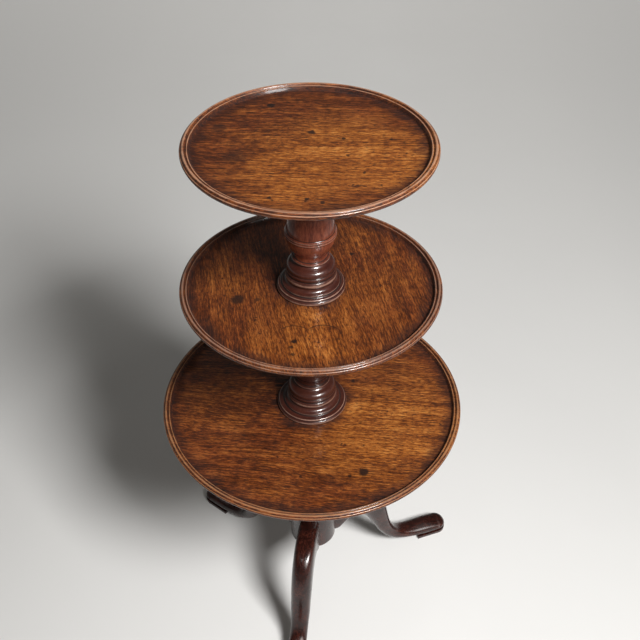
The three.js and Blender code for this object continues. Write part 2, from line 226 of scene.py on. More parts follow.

# %% [markdown]
# ## The studio
#
# The floor is pale, with painted shade that darkens its colour to the sides. It could be
# one flat colour, but nodes can also tell who looks: far off it glows a little for the
# camera alone, so the horizon stays pale, and behind the camera painted shade darkens it,
# most of all for whatever the polish reflects.

# %% Floor
FLOOR_SIZE = 16.0
FRONT_SHADE_FADES = (-1.3, -0.4)      # from here to here the floor turns pale, going away
GLOW_RISES = (0.9, 5.5)
FAR_GLOW = 0.38


def pale_floor():
    paint = Finish("pale_floor")
    place = paint.node("ShaderNodeTexCoord").outputs["Object"]
    right = paint.vector("DOT_PRODUCT", place, seen_from_camera(1, 0, 0))
    away = paint.vector("DOT_PRODUCT", place, seen_from_camera(0, 1, 0))
    beside = paint.math("ABSOLUTE", paint.plus(right, -0.1))
    # Painted shade: the pale colour darkens to the sides, standing in for the light falling off there.
    pale = paint.ramp(paint.span(beside, 0.2, 2.2, curve="LINEAR"), (
        (0.0, color(0.76, 0.75, 0.73)),
        (0.35, color(0.66, 0.65, 0.63)),
        (1.0, color(0.36, 0.355, 0.345)),
    ))
    mottled = paint.span(paint.noise(place, (1.5, 1.5, 1.5), 4.0, 0.6), 0.3, 0.7, 0.0, 0.06)
    pale = paint.mix(mottled, pale, color(0.5, 0.49, 0.47))
    seen = paint.node("ShaderNodeLightPath").outputs["Is Camera Ray"]
    # Painted shade: in front, behind the camera, the floor turns dark, to 0.10 in reflections and 0.40
    # for the camera.
    dark = paint.mix(seen, color(0.10, 0.10, 0.10), color(0.40, 0.395, 0.385))
    front = paint.span(away, *FRONT_SHADE_FADES, 1.0, 0.0)
    distance = paint.vector("DISTANCE", place, (column_axis.x, column_axis.y, 0.0))
    glow = paint.span(distance, *GLOW_RISES, 0.0, FAR_GLOW, "LINEAR")
    return paint.set(
        base_color=paint.mix(front, pale, dark),
        roughness=0.7,
        specular_ior_level=0.2,
        emission_color=color(1.0, 0.98, 0.94),
        emission_strength=paint.times(glow, seen),
    )


half = FLOOR_SIZE / 2
floor_mesh = bpy.data.meshes.new("floor")
floor_mesh.from_pydata(
    [(-half, -half, 0), (half, -half, 0), (half, half, 0), (-half, half, 0)], [], [(0, 1, 2, 3)]
)
floor_mesh.materials.append(pale_floor())
floor = bpy.data.objects.new("floor", floor_mesh)
scene.collection.objects.link(floor)
floor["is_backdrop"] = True

# %% [markdown]
# ## The light
#
# In the picture the shadows fall to the back left and have wide soft edges. That gives the
# place and size of one large soft light, near at the front right. It could be a sun lamp,
# but a square lamp leaves the long highlights that polished wood shows.

# %% Light
LIGHT_PLACE = (1.687, -2.212, 3.47)     # right, away and up from the foot of the column
LIGHT_SIZE = 1.1
LIGHT_POWER = 255
lamp = bpy.data.lights.new("soft_light", "AREA")
soft_light = bpy.data.objects.new("soft_light", lamp)
scene.collection.objects.link(soft_light)
lamp.size = LIGHT_SIZE
lamp.energy = LIGHT_POWER
soft_light.location = column_axis + seen_from_camera(*LIGHT_PLACE)
soft_light.rotation_euler = (column_axis - soft_light.location).to_track_quat("-Z", "Y").to_euler()
print("light at", [round(x, 2) for x in soft_light.location])

# %% [markdown]
# ## The world
#
# The world fills the shadows. Polish also mirrors the room, and a lamp alone would leave it
# black with hard glints. So what looks at the world in a reflection sees a pale horizon,
# dark walls, a bright ceiling and a wide soft box round the lamp. The camera itself sees
# plain grey. A photographed room could be wrapped round instead, but this one is all nodes.

# %% World
FILL_STRENGTH = 0.13
HORIZON_GREY = 0.46
STUDIO_TONES = ((0.02, HORIZON_GREY), (0.30, 0.06), (0.80, 0.06), (0.92, 1.0))
BOX_EDGES = (math.radians(27), math.radians(12))
BOX_LEVEL = 6.0
BOX_SEEN_FROM = 0.7             # the height on the column that the box is centred for


def grey(level):
    return color(level, 0.98 * level, 0.94 * level)


world = bpy.data.worlds.new("studio")
world.use_nodes = True
scene.world = world
sky = Wires(world.node_tree)
way = sky.node("ShaderNodeTexCoord").outputs["Generated"]
rise = sky.node("ShaderNodeSeparateXYZ", {0: way}).outputs["Z"]
walls = sky.ramp(rise, [(height, grey(level)) for height, level in STUDIO_TONES])
lamp_way = (soft_light.location - column_axis - Vector((0, 0, BOX_SEEN_FROM))).normalized()
box = sky.span(sky.vector("DOT_PRODUCT", way, lamp_way), *map(math.cos, BOX_EDGES))
ray = sky.node("ShaderNodeLightPath").outputs
reflected = sky.mix(box, walls, grey(BOX_LEVEL))
seen = sky.mix(ray["Is Glossy Ray"], grey(FILL_STRENGTH), reflected)
seen = sky.mix(ray["Is Camera Ray"], seen, grey(HORIZON_GREY))
sky.feed(world.node_tree.nodes["Background"].inputs["Color"], seen)
scene.view_settings.view_transform = "Standard"
print("world:", len(world.node_tree.nodes), "nodes, fill", FILL_STRENGTH)

# %% [markdown]
# ## Moulded profiles
#
# A turner works to a section: flats, beads that swell, coves that sink, and thin fillets
# between them. Each row here is a point out from the axis and up from the floor, with a
# bulge that bends the stretch that arrives there. Positive swells, negative sinks, and
# nought is straight, so a bead or a cove takes one row. A drawn curve with handles would
# do as well, but these rows read like the turner's own notes.

# %% Profile helper
ARC_STEPS = 8
# Beads that swell more than this are rubbed on top, in a colour that is partly wear and partly a painted
# highlight.
RUB_AND_GLINT_BULGE = 0.22
LONGEST_STEP = 6 * MM
HOLLOW_REACH = 1.6 * MM


def moulding(rows):
    """Points of a section from (out, up, bulge) rows, and how much each is rubbed, 0 to 1.

    An arc replaces a straight stretch where bulge isn't nought, and hands and dusters
    rub the tops of the beads. That share also places a painted highlight along them.
    """
    ends = [complex(out, up) for out, up, bulge in rows]
    points, rubbed_and_glint = ends[:1], [0.0]
    for start, end, (out, up, bulge) in zip(ends, ends[1:], rows[1:]):
        if bulge:
            chord = end - start
            centre = (start + end) / 2 + 1j * chord * (1 - bulge**2) / (4 * bulge)
            for i in range(1, ARC_STEPS + 1):
                turn = 4 * math.atan(bulge) * i / ARC_STEPS
                points.append(centre + (start - centre) * complex(math.cos(turn), math.sin(turn)))
                rubbed_and_glint.append(math.sin(math.pi * i / ARC_STEPS) if bulge > RUB_AND_GLINT_BULGE else 0.0)
        else:
            steps = max(1, math.ceil(abs(end - start) / LONGEST_STEP))
            points += [start + (end - start) * (i + 1) / steps for i in range(steps)]
            rubbed_and_glint += [0.0] * steps
    return np.array([(p.real, p.imag) for p in points]), np.array(rubbed_and_glint)


def hollowness(points, closed):
    """How far each point lies sunk between its neighbours, or, below 0, stands proud."""
    loop = np.vstack([points, points[:1]]) if closed else points
    lengths = np.hypot(*np.diff(loop, axis=0).T)
    along = np.concatenate([[0], np.cumsum(lengths)])
    total = along[-1]

    def at(distance):
        place = np.mod(distance, total) if closed else np.clip(distance, 0, total)
        return np.stack([np.interp(place, along, loop[:, k]) for k in (0, 1)], axis=1)

    here = along[: len(points)]
    before, after = at(here - HOLLOW_REACH), at(here + HOLLOW_REACH)
    outward = np.stack([(after - before)[:, 1], -(after - before)[:, 0]], axis=1)
    outward /= np.maximum(np.hypot(*outward.T), 1e-9)[:, None]
    return (((before + after) / 2 - points) * outward).sum(axis=1) / HOLLOW_REACH


print("a half round bead has", len(moulding([(1, 0, 0.0), (1, 1, 1.0)])[0]), "points")

# %% [markdown]
# ## The lathe
#
# The trays, bearers and columns were all turned, so one rule makes them: sweep the
# section round the axis. Geometry Nodes can do it with Curve to Mesh along a tiny circle.
# A Spin or a Screw modifier would too, but the node tree also lets the wood be a little
# out of true, as a hand-turned piece is, and carries the section's own values along:
# where it is hollow, and where hands rub it and a painted highlight goes.

# %% Tree helper
def new_tree(name, output, sockets):
    """Wires for a geometry tree with named inputs and one output, and the inputs' sockets."""
    tree = bpy.data.node_groups.new(name, "GeometryNodeTree")
    for label, kind in sockets.items():
        tree.interface.new_socket(label, in_out="INPUT", socket_type="NodeSocket" + kind)
    tree.interface.new_socket(output, in_out="OUTPUT", socket_type="NodeSocketGeometry")
    wires = Wires(tree)
    return wires, wires.node("NodeGroupInput").outputs


def end_tree(wires, geometry, material):
    """Makes what the tree holds real, gives it its material and hands it out."""
    real = wires.node("GeometryNodeRealizeInstances", {"Geometry": geometry})
    dressed = wires.node("GeometryNodeSetMaterial", {"Geometry": real, "Material": material})
    wires.node("NodeGroupOutput", {0: dressed})
    print(f"{wires.tree.name}: {len(wires.tree.nodes)} nodes")
    return wires.tree


# %% Lathe tree
SPINDLE = 1 * MM
TOUCH = 0.01 * MM               # points nearer than this are one
UNEVEN_PER_METRE = 9


def lathe_tree():
    wires, given = new_tree("Lathe", "Turning", {
        "Section": "Geometry",
        "Facets": "Int",
        "Out of True": "Float",
        "Seed": "Float",
        "Wood": "Material",
    })
    upright = wires.node("GeometryNodeTransform", {
        "Geometry": given["Section"],
        "Translation": (-SPINDLE, 0, 0),
        "Rotation": (math.pi / 2, 0, 0),
    })
    section = wires.node("GeometryNodeMeshToCurve", {"Mesh": upright})
    circle = wires.node("GeometryNodeCurvePrimitiveCircle", {
        "Resolution": given["Facets"],
        "Radius": SPINDLE,
    })
    swept = wires.node("GeometryNodeCurveToMesh", {"Curve": circle, "Profile Curve": section})
    poles = wires.node("GeometryNodeMergeByDistance", {"Geometry": swept, "Distance": TOUCH})
    waves = {"W": given["Seed"], "Scale": UNEVEN_PER_METRE, "Detail": 1}
    uneven = wires.node("ShaderNodeTexNoise", waves, noise_dimensions="4D")
    depth = wires.times(uneven, given["Out of True"])
    normal = wires.node("GeometryNodeInputNormal")
    inward = wires.node("ShaderNodeVectorMath", {0: normal, "Scale": depth}, operation="SCALE")
    moved = wires.node("GeometryNodeSetPosition", {"Geometry": poles, "Offset": inward})
    smooth = wires.node("GeometryNodeSetShadeSmooth", {"Geometry": moved})
    return end_tree(wires, smooth, given["Wood"])


lathe = lathe_tree()

# %% Turning helpers
def baked(piece, tree, inputs):
    """The plain mesh that a tree makes of a piece, its inputs set before the first evaluation."""
    modifier = piece.modifiers.new(tree.name, "NODES")
    modifier.node_group = tree
    for item in tree.interface.items_tree:
        if item.in_out == "INPUT" and item.name in inputs:
            modifier[item.identifier] = inputs[item.name]
    evaluated = piece.evaluated_get(bpy.context.evaluated_depsgraph_get())
    mesh = bpy.data.meshes.new_from_object(evaluated)
    piece.modifiers.remove(modifier)
    return mesh


def outward_faces(mesh):
    shape = bmesh.new()
    shape.from_mesh(mesh)
    bmesh.ops.recalc_face_normals(shape, faces=shape.faces)
    shape.to_mesh(mesh)
    shape.free()
    return mesh


OUT_OF_TRUE = 0.1 * MM


def turned(name, rows, facets, wood):
    """Turns a section to a mesh about the column's axis."""
    points, rubbed_and_glint = moulding(rows)
    closed = points[0][0] > SPINDLE
    count = len(points)
    edges = [(i, (i + 1) % count) for i in range(count if closed else count - 1)]
    section = bpy.data.meshes.new(name + "_section")
    section.from_pydata([(out, 0, up) for out, up in points], edges, [])
    for label, values in (("hollow", hollowness(points, closed)), ("rubbed_and_glint", rubbed_and_glint)):
        attribute = section.attributes.new(label, "FLOAT", "POINT")
        attribute.data.foreach_set("value", values.astype(np.float32))
    blank = bpy.data.objects.new(name + "_section", section)
    scene.collection.objects.link(blank)
    seed = float(sum(map(ord, name)) % 97)
    inputs = {"Facets": facets, "Out of True": -OUT_OF_TRUE, "Seed": seed, "Wood": wood}
    mesh = baked(blank, lathe, inputs)
    bpy.data.objects.remove(blank)
    mesh.name = name
    mesh.transform(Matrix.Translation(column_axis))
    return outward_faces(mesh)


print("the lathe takes:", *[item.name for item in lathe.interface.items_tree][1:])

# %% [markdown]
# ## Grain and bench
#
# Wood's grain runs straight through a plank, whatever is cut from it. So each point keeps
# the place that it had in its plank, and the finishes read that, not the point's place in
# the room: the figure turns with a tray and never slides. An unwrapped map could hold it
# too, but with seams. Then the bench puts each finished piece on the body that it moves
# with, in place of the plain nodes of the frame.

# %% Grain and bench
def float_attribute(mesh, name, values):
    attribute = mesh.attributes.get(name) or mesh.attributes.new(name, "FLOAT", "POINT")
    attribute.data.foreach_set("value", np.asarray(values, np.float32))


def places(mesh):
    spots = np.empty(len(mesh.vertices) * 3, np.float32)
    mesh.vertices.foreach_get("co", spots)
    return spots.reshape(-1, 3)


def mark_grain(mesh, along, start, shift):
    """Stores where each point lies in the plank: x runs with the grain, y and z across it."""
    along = Vector(along).normalized()
    side = Vector((0, 0, 1)).cross(along) if abs(along.z) < 0.9 else Vector((0, 1, 0))
    side.normalize()
    axes = np.array([along, side, along.cross(side)])
    spots = (places(mesh) - np.array(start)) @ axes.T + shift
    grain = mesh.attributes.new("grain", "FLOAT_VECTOR", "POINT")
    grain.data.foreach_set("vector", spots.astype(np.float32).ravel())


def bench(mesh, name, body, slot, *nodes):
    """Puts a finished mesh on its body, in place of the frame's plain nodes."""
    mesh.name = name
    piece = bpy.data.objects.new(name, mesh)
    scene.collection.objects.link(piece)
    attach(piece, body)
    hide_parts(*nodes)
    print(f"{name}: {len(mesh.vertices)} points, {len(mesh.polygons)} faces")


# %% [markdown]
# ## Mahogany
#
# Old mahogany shows several patterns at once, all drawn out along the grain: broad
# ribbons that wave a little, finer streaks, short dark pores, and soft patches where the
# fibres dip and the wood glows. Over that lies what two centuries add: dirt in every
# hollow, wear on every edge, rings and ink spots, and a darker skin near the rim where no
# cloth rubs. The lighter colour of the worn edges also serves as a painted highlight. An
# image of wood could be wrapped round the pieces, but noise stretched along the grain
# keeps its scale on every face, also on the end grain.

# %% Figure and pores
SWAY = 0.016                    # how far the ribbons wave to each side
PORE = color(0.020, 0.007, 0.004)


def figure(wood, plank, ribbon=1.0, streak=1.0, fleck=1.0, patch=1.0, spread=0.12):
    """The wood's light and dark pattern, about 0 to 1, and the place with its waves."""
    sway = wood.noise(plank, (1.4, 4.0, 4.0), 2.0)
    drift = wood.node("ShaderNodeCombineXYZ", {1: wood.span(sway, 0.2, 0.8, -SWAY, SWAY)})
    place = wood.vector("ADD", plank, drift.outputs[0])
    layers = (
        (0.5 * ribbon, wood.noise(place, (1.3, 38.0, 38.0), 5.0, 0.65)),
        (0.6 * streak, wood.noise(place, (5.0, 200.0, 200.0), 3.0, 0.65)),
        (1.2 * fleck, wood.noise(place, (62.0, 360.0, 360.0), 3.0, 0.75)),
        (0.5 * patch, wood.noise(place, (16.0, 34.0, 34.0), 4.0, 0.65)),
    )
    value = 0.0
    for weight, layer in layers:
        value = wood.plus(wood.times(layer, weight), value)
    value = wood.math("DIVIDE", value, sum(weight for weight, layer in layers))
    return wood.span(value, 0.5 - spread, 0.5 + spread), place


def pored(wood, tone, place, share=0.85):
    """Adds the open pores: short dark dashes along the grain, also felt as height."""
    pores = wood.span(wood.noise(place, (95.0, 1300.0, 1300.0), 1.0), 0.58, 0.7)
    clusters = wood.span(wood.noise(place, (95.0, 400.0, 400.0), 2.0, 0.6), 0.57, 0.66, 0.0, 0.75)
    dashes = wood.times(wood.larger(pores, clusters), share)
    tone = wood.mix(dashes, tone, PORE)
    fibres = wood.noise(place, (8.0, 260.0, 260.0), 2.0)
    return tone, wood.math("SUBTRACT", wood.times(fibres, 0.5), dashes)


print("ribbons sway", SWAY / MM, "mm to each side")

# %% Wear and polish
GRAIN_DEPTH = 0.1 * MM
RIPPLE_DEPTH = 0.25 * MM


def wear(wood, tone, place, dirt, worn_and_glint, edge=1.0, filled=0.85):
    """Dirt in the hollows and lighter rubbed edges, both broken up by noise. The edge colour is partly
    wear and partly a painted highlight.
    """
    hollow = wood.attribute("hollow")
    broken = wood.noise(place, (14.0, 60.0, 60.0), 4.0, 0.7)
    sunk = wood.span(wood.plus(hollow, wood.times(broken, 0.12)), 0.2, 0.42)
    sharp = wood.span(hollow, -0.35, -0.6)
    proud = wood.larger(wood.attribute("rubbed_and_glint"), sharp)
    proud = wood.plus(proud, wood.span(broken, 0.3, 0.7, -0.16, 0.1))
    proud = wood.times(wood.span(proud, 0.6, 0.95), edge)
    # Painted highlight, partly: the rubbed edges take a lighter colour that also stands in for glints
    # along the crests.
    tone = wood.mix(proud, tone, worn_and_glint)
    return wood.mix(wood.times(sunk, filled), tone, dirt), sunk


def polish(wood, tone, height, place, rough, coat, coat_rough, dull=0.0, gloss=0.5, ripple=1.0):
    """The skin of shellac and wax: a little uneven, with the pores showing through."""
    cloud = wood.noise(place, (20.0, 26.0, 26.0), 3.0, 0.6)
    broad = wood.bump(wood.noise(place, (11.0, 22.0, 22.0), 1.0), ripple * RIPPLE_DEPTH)
    roughness = wood.span(cloud, 0.3, 0.7, rough - 0.05, rough + 0.08)
    skin = coat
    if dull:
        roughness = wood.plus(roughness, wood.times(dull, 0.4))
        skin = wood.times(wood.math("SUBTRACT", 1.0, dull), coat)
    return wood.set(
        base_color=tone,
        roughness=roughness,
        specular_ior_level=gloss,
        coat_weight=skin,
        coat_roughness=coat_rough,
        normal=wood.bump(height, GRAIN_DEPTH, broad),
        coat_normal=broad,
    )


print("polish ripples", RIPPLE_DEPTH / MM, "mm deep, grain", GRAIN_DEPTH / MM, "mm")

# %% [markdown]
# ## The trays
#
# Each tray is one wide board, dished on the lathe so that a moulded rim stands up round
# it: a bead on the outer edge, a larger one on top, a smaller one inside, and a cove down
# to the floor. Its finish runs from heart wood to wood that light has faded, and adds the
# darker skin near the rim, the ring of old polish at the foot of the column, stains, rings
# that glasses left, and small dents. All of them are blends of noise and of distances on
# the plank. They could be painted by hand on an image, but that would need the image.

# %% Board tones
HEART_TONES = (
    (0.0, color(0.018, 0.005, 0.002)),
    (0.3, color(0.058, 0.013, 0.003)),
    (0.55, color(0.117, 0.027, 0.006)),
    (0.8, color(0.190, 0.048, 0.010)),
    (1.0, color(0.30, 0.090, 0.019)),
)
FADED_TONES = (
    (0.0, color(0.055, 0.014, 0.003)),
    (0.28, color(0.135, 0.034, 0.006)),
    (0.52, color(0.245, 0.070, 0.011)),
    (0.78, color(0.36, 0.120, 0.021)),
    (1.0, color(0.48, 0.19, 0.043)),
)


def near(wood, spot, x, y, size, soft=0.5):
    """1 at a place on the plank, falling to 0 at the given distance from it."""
    far = wood.vector("DISTANCE", spot, (x, y, 0.0))
    return wood.span(far, size * (1 - soft), size * (1 + soft), 1.0, 0.0)


def board(wood, value, plank, blotch, fields):
    """The bare board, from heart wood to faded wood in clouds and in the given fields."""
    faded = wood.span(blotch, 0.25, 0.75, -0.35, 0.35)
    for x, y, size, share in fields:
        faded = wood.plus(faded, wood.times(near(wood, plank, x, y, size, 0.8), share))
    faded = wood.node("ShaderNodeClamp", {0: faded}).outputs[0]
    return wood.mix(faded, wood.ramp(value, HEART_TONES), wood.ramp(value, FADED_TONES))


print("tones of the boards:", len(HEART_TONES), "in the heart,", len(FADED_TONES), "faded")

# %% Stains, rings and dents
RING_LINE = (0.4 * MM, 2 * MM)
STRAY = 9 * MM                  # how far the outline of a stain or dent strays
DENTS_PER_METRE = 42.0


def darkened(wood, plank, marks):
    """How dark stains, the arcs that glasses leave and small dents make a place, 0 to 1."""
    wobble = wood.node("ShaderNodeTexNoise", {"Vector": plank, "Scale": 110.0}).outputs["Color"]
    wobble = wood.vector("SUBTRACT", wobble, (0.5, 0.5, 0.5))
    spot = wood.vector("ADD", plank, wood.vector("MULTIPLY", wobble, (STRAY, STRAY, 0.0)))
    dark = 0.0
    for x, y, size, share in marks["stains"]:
        dark = wood.larger(wood.times(near(wood, spot, x, y, size, 0.32), share), dark)
    for (x, y, size, share), far_side in zip(marks["rings"], marks["far_sides"]):
        off = wood.math("SUBTRACT", wood.vector("DISTANCE", plank, (x, y, 0.0)), size)
        line = wood.span(wood.math("ABSOLUTE", off), *RING_LINE, share, 0.0)
        part = near(wood, plank, *far_side[:2], 0.8 * size, 0.4)
        dark = wood.larger(wood.times(line, part), dark)
    cells = {"Vector": spot, "Scale": DENTS_PER_METRE, "Randomness": 1.0}
    dents = wood.node("ShaderNodeTexVoronoi", cells).outputs["Distance"]
    chance = wood.span(wood.noise(plank, (22.0, 22.0, 22.0), 2.0), 0.44, 0.56)
    return wood.larger(wood.times(wood.span(dents, 0.05, 0.13, 0.8, 0.0), chance), dark)


print("a glass leaves a line", RING_LINE[1] / MM, "mm wide to each side")

# %% Tray finish
DISH_DEPTH = 10.5 * MM
RIM_WIDTH = 21 * MM
RAGGED = 14 * MM                    # how far the skin's edge strays
SKIN_RISES = (-20 * MM, 4 * MM)     # beside the dish's edge: the skin darkens, going out
CREST_RISES = (5 * MM, 8 * MM)      # and there the rubbed rim begins
HALO_FADES = (-6 * MM, 18 * MM)     # beside the column's foot: old polish fades, going out
TRAY_DIRT = color(0.016, 0.007, 0.005)
PATINA = color(0.24, 0.19, 0.22)
INK = color(0.009, 0.005, 0.004)
DRY_FACE = color(0.050, 0.022, 0.013)


def tray_finish(name, radius, plate, marks, worn_and_glint, spread):
    wood = Finish(name)
    plank = wood.attribute("grain")
    value, place = figure(wood, plank, spread=spread)
    blotch = wood.noise(place, (9.0, 24.0, 24.0), 4.0, 0.65)
    tone = board(wood, value, plank, blotch, marks["faded"])
    tone, height = pored(wood, tone, place)
    out = wood.attribute("radius")
    ragged = wood.plus(out, wood.span(blotch, 0.25, 0.75, -RAGGED, RAGGED))
    dish = radius - RIM_WIDTH
    skin = wood.span(ragged, dish + SKIN_RISES[0], dish + SKIN_RISES[1], 0.0, 0.9)
    crest = wood.span(out, dish + CREST_RISES[0], dish + CREST_RISES[1], 1.0, 0.2)
    skin = wood.times(skin, crest)
    height = wood.times(height, crest)
    if plate:
        halo = wood.span(ragged, plate + HALO_FADES[0], plate + HALO_FADES[1], 0.85, 0.0)
        skin = wood.larger(skin, halo)
    tone = wood.mix(skin, tone, PATINA, "MULTIPLY")
    tone = wood.mix(darkened(wood, plank, marks), tone, INK)
    tone, sunk = wear(wood, tone, place, TRAY_DIRT, worn_and_glint, 0.8, 0.45)
    raw = wood.attribute("raw")
    tone = wood.mix(raw, tone, wood.mix(0.6, tone, DRY_FACE))
    dull = wood.larger(wood.times(sunk, 0.3), wood.times(skin, 0.85))
    dull = wood.larger(dull, raw)
    return polish(wood, tone, height, place, 0.5, 0.6, 0.13, dull, gloss=0.25)


print("dished", DISH_DEPTH / MM, "mm deep inside a rim", RIM_WIDTH / MM, "mm wide")

# %% [markdown]
# ## What tells the trays apart
#
# The boards lie at different angles, because each tray turns freely. The marks of use are
# what makes three like boards three old ones, so the largest are placed one by one: faded
# fields, stains, and the arcs that wet glasses leave. Chance could strew them, but chance
# doesn't know where guests put things down, near the edge and away from the column.

# %% Tray facts and marks
# Each tray's worn colour is for its rubbed crests: partly wear, and partly a painted highlight along the
# beads.
TRAYS = {
    "bottom": {"grain": 3, "facets": 256, "column": "lower_column",
               "worn_and_glint": (0.33, 0.155, 0.068), "spread": 0.105},
    "middle": {"grain": -70, "facets": 224, "column": "upper_column",
               "worn_and_glint": (0.27, 0.15, 0.10), "spread": 0.125},
    "top": {"grain": 7, "facets": 208, "column": None,
            "worn_and_glint": (0.42, 0.225, 0.135), "spread": 0.105},
}
# Places to the right of the column and behind it as the camera sees them, size, strength
MARKS = {
    "bottom": {
        "faded": [(180, -50, 120, 0.9), (110, -120, 90, 0.7), (-190, -20, 70, 0.35), (0, -150, 90, 0.2)],
        "stains": [(98, -187, 9, 0.9), (72, -195, 3.5, 0.9), (84, 55, 4, 0.9), (-20, -197, 3.5, 0.8)],
        "rings": [],
    },
    "middle": {
        "faded": [(10, -120, 100, 0.62), (130, 0, 70, 0.35), (-140, 20, 60, 0.4), (60, 150, 60, 0.3)],
        "stains": [
            (-130, -41, 12, 0.8), (-95, -41, 5, 0.7), (-27, -151, 5.5, 0.95),
            (-33, -166, 4, 0.8), (-29, -184, 4, 0.8), (13, 48, 5, 0.8), (76, 92, 4, 0.9),
        ],
        "rings": [(-28, -146, 34, 0.6), (22, -146, 36, 0.75)],
    },
    "top": {
        "faded": [(30, -35, 110, 1.0), (140, -30, 70, 1.0), (-50, -105, 60, 0.6), (60, 30, 60, 0.4)],
        "stains": [
            (-67, 137, 7, 0.95), (2, 45, 6, 0.9), (54, 25, 4, 0.9), (132, 22, 3.5, 0.9),
            (60, -28, 3.5, 0.85), (-58, -147, 3.5, 0.9), (-4, -152, 3.5, 0.9), (20, -160, 4, 0.85),
            (84, -78, 3, 0.85), (82, 119, 3, 0.8), (-150, 60, 14, 0.5), (-120, -30, 18, 0.5),
        ],
        "rings": [(77, -128, 14, 0.8), (104, -133, 11, 0.6)],
    },
}


def on_plank(spots, grain):
    """Turns places seen from the camera, in millimetres, into the plank's own, in metres."""
    turned_back = Matrix.Rotation(-math.radians(grain), 3, "Z")
    made = []
    for right, away, size, share in spots:
        spot = turned_back @ seen_from_camera(right, away, 0) * MM
        made.append((spot.x, spot.y, size * MM, share))
    return made


print("marks:", {tier: sum(map(len, kinds.values())) for tier, kinds in MARKS.items()})

# %% Tray section
UNDERSIDE_BEVEL = 42 * MM


def rim_rows(radius, top, hole, under):
    """The section of a tray from the hole's lower edge round the rim to the floor."""
    def at(inward, down, bulge=0.0):
        return (radius - inward * MM, top - down * MM, bulge)

    floor_height = top - DISH_DEPTH
    return [
        (hole, under, 0.0),
        (radius - UNDERSIDE_BEVEL, under, 0.0),
        at(3.6, 11.4, 0.03),
        at(2.2, 10.6, 0.15),
        at(1.0, 8.4, 0.1),
        at(0.6, 6.4, 0.1),
        at(0.9, 5.0, 0.1),
        at(2.8, 3.0, 0.35),
        at(3.2, 3.1, -0.2),
        at(3.4, 2.5, -0.2),
        at(9.5, 2.2, 0.7),
        at(10.3, 3.5, -0.15),
        at(11.2, 3.2, -0.4),
        at(14.5, 3.7, 0.5),
        at(15.1, 4.8, -0.3),
        at(16.2, 8.5, 0.0),
        (radius - 0.95 * RIM_WIDTH, floor_height, -0.22),
        (hole, floor_height, 0.0),
    ]


print("tray section:", len(rim_rows(0.3, 0, 0, 0)), "corners")

# %% Turn the trays
JOURNAL = 20 * MM               # the bearing turned on each column under a tray
TOP_JOURNAL = 15 * MM
SEAT_GAP = 0.3 * MM
RAW_HEIGHT = 8 * MM             # the underside is left unpolished up to here
RAW_INSET = 4 * MM              # and out to here, in from the edge
for tier, facts in TRAYS.items():
    node = tier + "_tray"
    low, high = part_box(node)
    radius = (high.x - low.x) / 2
    column = facts["column"]
    hole = JOURNAL + SEAT_GAP if column else 0.0
    plate = (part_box(column)[1].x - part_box(column)[0].x) / 2 if column else 0
    marks = {kind: on_plank(spots, facts["grain"]) for kind, spots in MARKS[tier].items()}
    far_sides = [(right, away + size, size, share) for right, away, size, share in MARKS[tier]["rings"]]
    marks["far_sides"] = on_plank(far_sides, facts["grain"])
    worn_and_glint = color(*facts["worn_and_glint"])
    finish = tray_finish(node + "_mahogany", radius, plate, marks, worn_and_glint, facts["spread"])
    mesh = turned(node, rim_rows(radius, high.z, hole, low.z), facts["facets"], finish)
    spots = places(mesh) - np.array(column_axis)
    out = np.hypot(spots[:, 0], spots[:, 1])
    float_attribute(mesh, "radius", out)
    float_attribute(mesh, "raw", (spots[:, 2] < low.z + RAW_HEIGHT) & (out < radius - RAW_INSET))
    angle = math.radians(facts["grain"])
    start = (column_axis.x, column_axis.y, high.z - DISH_DEPTH)
    mark_grain(mesh, (math.cos(angle), math.sin(angle), 0), start, 0)
    bench(mesh, node + "_turned", tier + "_tier", "tray_wood", node)

# %% [markdown]
# ## The bearers
#
# A turned block is screwed under each tray. It keeps the thin board flat and runs on the
# shoulder of the column below. A plain disc would do, but the turner rounded its edge.
# Nobody polished it, so the same mahogany gets no coat, and is dry and dull.

# %% Bearers
def dry_wood():
    stops = (
        (0.0, color(0.03, 0.012, 0.007)),
        (0.5, color(0.085, 0.032, 0.016)),
        (1.0, color(0.16, 0.07, 0.035)),
    )
    wood = Finish("dry_mahogany")
    value, place = figure(wood, wood.attribute("grain"))
    tone, height = pored(wood, wood.ramp(value, stops), place)
    tone, sunk = wear(wood, tone, place, color(0.02, 0.01, 0.008), color(0.16, 0.08, 0.045))
    return polish(wood, tone, height, place, 0.68, 0.0, 0.3)


dry_mahogany = dry_wood()
BEARER_EDGE = 7 * MM
BEARER_FACETS = 128
BEARER_PLANK = 5.0              # each kind of piece comes from another part of the plank
for tier in TRAYS:
    node = tier + "_tray_bearer"
    low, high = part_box(node)
    radius = (high.x - low.x) / 2
    bore = (TOP_JOURNAL if tier == "top" else JOURNAL) + SEAT_GAP
    thick = high.z - low.z
    rows = [
        (bore, low.z, 0.0),
        (radius - BEARER_EDGE, low.z, 0.0),
        (radius, low.z + 0.72 * thick, 0.36),
        (radius - 0.25 * BEARER_EDGE, low.z + 0.76 * thick, 0.0),
        (radius - 0.25 * BEARER_EDGE, high.z, 0.0),
        (bore, high.z, 0.0),
    ]
    mesh = turned(node, rows, BEARER_FACETS, dry_mahogany)
    mark_grain(mesh, (0.3, 1, 0), column_axis, BEARER_PLANK)
    bench(mesh, node + "_turned", tier + "_tier", "bearer_wood", node)

